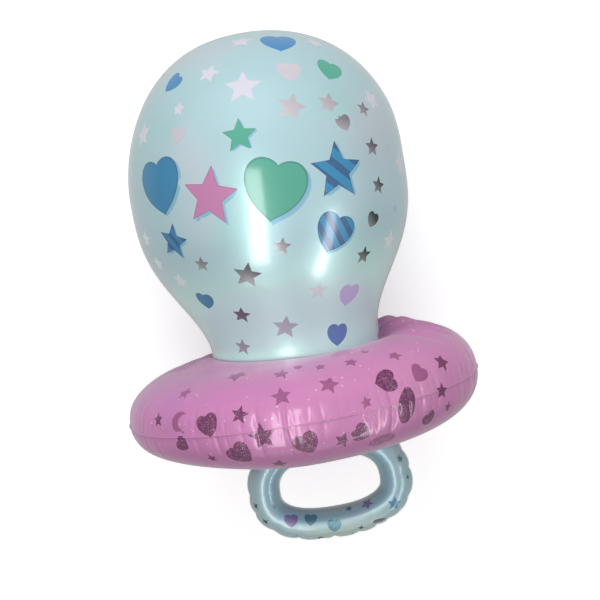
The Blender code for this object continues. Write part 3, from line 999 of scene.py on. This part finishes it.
def handle_surface():
    """The handle's skin as points[section, round], its welds, and the painted shade on its inner side.

    The section runs from the outer weld over the front of the tube to the inner weld and back.
    Folds draw in its outer side, and the outer weld ripples.
    """
    across, up, out_across, out_up = handle_line()
    turn = np.linspace(WELD_TURN, math.pi - WELD_TURN, TUBE_ROWS)
    thin = WELD_THICKNESS / 2
    edge = TUBE_RADIUS + HANDLE_WELD
    tip = edge + WELD_TIP
    out = np.concatenate([[tip, edge], TUBE_RADIUS * np.cos(turn), [-edge, -tip]])
    front = np.concatenate([[0, thin], TUBE_RADIUS * np.sin(turn), [thin, 0]])
    weld = np.concatenate([[1, 1], 0 * turn, [1, 1]])
    out = np.concatenate([out, out[-2:0:-1]])[:, None]
    front = np.concatenate([front, -front[-2:0:-1]])[:, None]
    weld = np.concatenate([weld, weld[-2:0:-1]])[:, None]
    angle = np.arange(HANDLE_COLUMNS)[None, :] * 2 * math.pi / HANDLE_COLUMNS
    cosine, sine = np.clip(out / TUBE_RADIUS, -1, 1), front / TUBE_RADIUS
    folds = strewn_folds(
        4, HANDLE_PUCKERS, jitter=0.25, depth=(0.0022, 0.0045), skew=1,
        width=(0.05, 0.09), reach=(0.014, 0.026), lean=2,
    )
    drawn_in = puckers(angle, TUBE_RADIUS * np.arccos(cosine), folds)
    reach = out - drawn_in * cosine
    ripple = HANDLE_RIPPLE * np.sin(38 * angle + 2 * np.sin(5 * angle)) * weld * (out > 0)
    y = front - drawn_in * sine + ripple
    x = HANDLE_SHIFT + across + reach * out_across
    z = handle_middle() + up + reach * out_up
    # Painted shade: the film is darkened over the tube's inner side, fading at the inner weld
    painted_inner_shade = smooth((0.35 - cosine) / 0.8) * smooth((1 + cosine) / 0.3)
    return laid_down(x, y, z), np.broadcast_to(weld, x.shape), (painted_inner_shade + 0 * x).reshape(-1)


def handle_middle():
    """Height of the handle's widest level, with its top edge just under the bulb's tail."""
    tail_bottom = bulb_curve()[1][-1]
    return tail_bottom - GAP - HANDLE_WELD - TUBE_RADIUS - HANDLE_UPPER_HEIGHT - TAIL_CLEARANCE


HANDLE_PRINTS = [
    (SPARK, (256, 506), 8, 30, DEEP_TEAL),
    (SPARK, (265, 522), 9, 20, DEEP_TEAL),
    (SPARK, (274, 507), 6, 0, (130, 150, 160)),
    (HEART, (291, 521), 12, 4, PURPLE),
    (HEART, (311, 519), 11, 0, (60, 120, 138)),
    (HEART, (334, 526), 12, 0, (50, 140, 160), 0, GLITTER),
    (STAR, (296, 537), 8, 10, DEEP_TEAL),
    (STAR, (320, 538), 6, 0, DEEP_TEAL),
    (STAR, (349, 509), 7, 0, (88, 108, 160)),
    (STAR, (367, 504), 11, -10, PURPLE),
    (STAR, (395, 504), 12, 0, (60, 130, 170)),
    (SPARK, (361, 528), 7, 0, DEEP_TEAL),
    (STAR, (400, 459), 7, -10, (80, 110, 125)),
    (SPARK, (408, 477), 6, 20, DEEP_TEAL),
    (OVAL, (380, 521), 11, 16, (80, 92, 100), 0, GLITTER),
]
HANDLE_HIDDEN_PRINTS = [
    (SPARK, 8, DEEP_TEAL),
    (STAR, 8, PURPLE),
    (HEART, 9, (60, 120, 138)),
    (STAR, 7, (60, 130, 170)),
]

handle_points, handle_weld, handle_painted_shade = handle_surface()
handle_skin = skin("handle_skin", handle_points, True)
# Painted shade on the tube's inner side
store(handle_skin, "painted_shading", INNER_SHADE * handle_painted_shade)
lay_prints(
    handle_skin, handle_points, True, HANDLE_PRINTS, handle_weld, HANDLE_HIDDEN_PRINTS,
    turned=0.6, spacing=0.026, seed=9,
)
handle_skin.data.materials.append(foil(
    "light_blue_foil", **LIGHT_BLUE_FILM,
    shine=0.10, roughness=0.40, coat=0.40, coat_roughness=0.15, dots=0.3,
))
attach(handle_skin, "root")
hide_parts("handle_ring")


# The floor and the light
# A plain white studio floor in a white surround, lit by one soft box from beyond the bulb. Three
# more are only mirrored in the foil, as its highlights show them.
FLOOR_HALF = 8.0
FLOOR_WHITE, FLOOR_GREY, FLOOR_GLOW = 0.94, 0.55, 0.38

floor_mesh = bpy.data.meshes.new("floor")
corners = [(x * FLOOR_HALF, y * FLOOR_HALF, 0) for x, y in ((-1, -1), (1, -1), (1, 1), (-1, 1))]
floor_mesh.from_pydata(corners, [], [(0, 1, 2, 3)])
floor = placed("floor", floor_mesh)
floor_white = bpy.data.materials.new("floor_white")
floor_white.use_nodes = True
floor_tree = floor_white.node_tree
# Seen directly it is white and glows a little, and the balloon mirrors it as a grey
seen_directly = add(floor_tree, "LightPath", {}).outputs["Is Camera Ray"]
fill(floor_tree, floor_tree.nodes["Principled BSDF"], {
    "Base Color": blended(floor_tree, seen_directly, (FLOOR_GREY,) * 3, (FLOOR_WHITE,) * 3),
    "Emission Color": (1, 1, 1, 1),
    "Emission Strength": reckon(floor_tree, "MULTIPLY", seen_directly, FLOOR_GLOW),
    "Roughness": 0.9,
})
floor_mesh.materials.append(floor_white)

# The foil is lit by a surround that is bright overhead and beyond the bulb, and dim behind the
# handle. The limits are the cosine of the angle off the brightest way, and the strength there.
BRIGHTEST_WAY = (0.0, 0.70, 0.71)
SURROUND_LIMITS = {"From Min": -0.45, "From Max": 0.95, "To Min": 0.45, "To Max": 0.88}
world = bpy.data.worlds.new("surround")
world.use_nodes = True
sky = world.node_tree
way = add(sky, "TexCoord", {}).outputs["Generated"]
along = add(sky, "VectorMath", {0: way, 1: BRIGHTEST_WAY}, operation="DOT_PRODUCT").outputs["Value"]
limits = {"Value": along, **SURROUND_LIMITS}
strength = add(sky, "MapRange", limits, interpolation_type="SMOOTHSTEP").outputs["Result"]
# Seen directly it is as pale as the floor
seen_sky = add(sky, "LightPath", {}).outputs["Is Camera Ray"]
strength = reckon(sky, "MAXIMUM", strength, seen_sky)
fill(sky, sky.nodes["Background"], {"Color": (1, 1, 1, 1), "Strength": strength})
bpy.context.scene.world = world

LIT_PLACE = (0.0, 0.10, 0.40)


def soft_box(name, start, end, width, brightness, mirrored):
    """A soft white light from one end to the other, facing the balloon.

    It is either only mirrored in the foil or only lights it. Its power is pi times its area times
    its brightness.
    """
    start, end = np.array(start), np.array(end)
    middle, length = (start + end) / 2, np.linalg.norm(end - start)
    back = unit(middle - np.array(LIT_PLACE))
    long_side = unit(end - start)
    long_side = unit(long_side - back * (long_side @ back))
    light = bpy.data.lights.new(name, "AREA")
    light.shape = "RECTANGLE"
    light.size, light.size_y = width, length
    light.energy = math.pi * width * length * brightness
    box = placed(name, light)
    box.matrix_world = pose(np.cross(long_side, back), long_side, back, middle)
    box.visible_glossy, box.visible_diffuse = mirrored, not mirrored


soft_box("overhead_strip", (-0.24, 0.95, 2.4), (-0.6, -1.5, 2.4), width=0.54, brightness=6.8, mirrored=True)
soft_box("side_strip", (2.0, -0.2, 1.95), (1.06, -2.3, 1.57), width=0.36, brightness=8.0, mirrored=True)
soft_box("neck_fill", (-1.3, -2.4, 1.6), (0.7, -2.4, 1.6), width=1.1, brightness=1.0, mirrored=True)
soft_box("key_box", (-1.0, 2.6, 1.9), (1.0, 2.6, 1.9), width=1.8, brightness=3.6, mirrored=False)

bpy.context.scene.view_settings.view_transform = "Standard"
